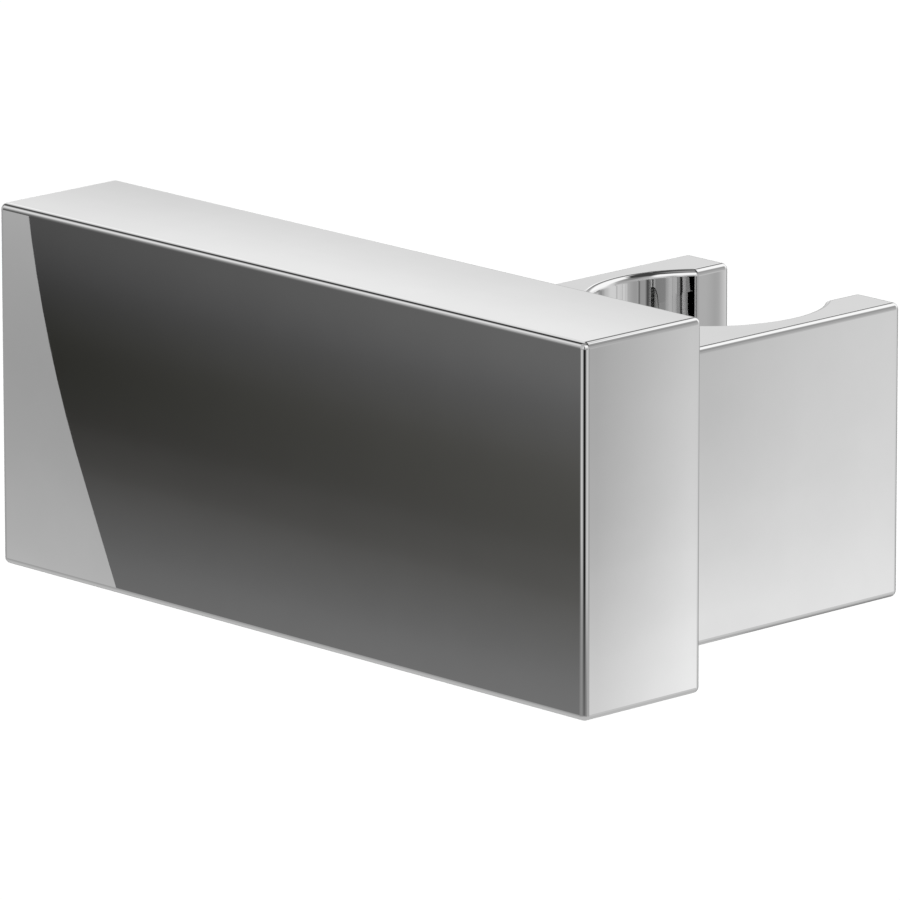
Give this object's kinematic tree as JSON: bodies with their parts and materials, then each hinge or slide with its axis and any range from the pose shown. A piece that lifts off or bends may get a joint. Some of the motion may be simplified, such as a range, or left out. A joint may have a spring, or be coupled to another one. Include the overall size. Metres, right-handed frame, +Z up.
{
  "type": "hand shower holder",
  "caption": "Square wall holder for a hand shower: a flat arm stands out from the wall and carries a tilting fork on its side, with a round upright hole open to one side.",
  "frame": {"origin": "middle of the arm's wall end, on the wall plane, midway between the two wall screw holes", "axes": "+Y points into the wall, so the arm stands out along -Y; +Z is up; the fork sits on the arm's +X side"},
  "size_m": [0.0486, 0.0902, 0.04],
  "materials": {
    "polished_chrome": "mirror-bright chrome plating",
    "turned_brass": "turned, bare",
    "cast_zinc": "die-cast zinc, bare and matt",
    "stainless_steel": "plain stainless steel",
    "slip_plastic": "smooth white bearing plastic",
    "seal_rubber": "smooth black rubber"
  },
  "bodies": {
    "arm": {"arm_body": "polished_chrome", "wall_bracket": "cast_zinc", "bracket_grub_screw": "stainless_steel", "gland_ring": "turned_brass", "pivot_bush": "slip_plastic", "seal_ring": "seal_rubber", "face_washer": "slip_plastic", "friction_disc": "slip_plastic", "thrust_washer": "stainless_steel", "disc_spring_inner": "stainless_steel", "disc_spring_outer": "stainless_steel", "stop_pin": "stainless_steel"},
    "fork": {"holder_fork": "polished_chrome", "pivot_spindle": "turned_brass", "fork_screw": "stainless_steel"}
  },
  "joints": [
    {"name": "fork_tilt", "type": "hinge", "parent": "arm", "child": "fork", "pos_m": [0.00885, -0.07195, 0], "axis": [1, 0, 0], "range_deg": [-30, 30]}
  ]
}
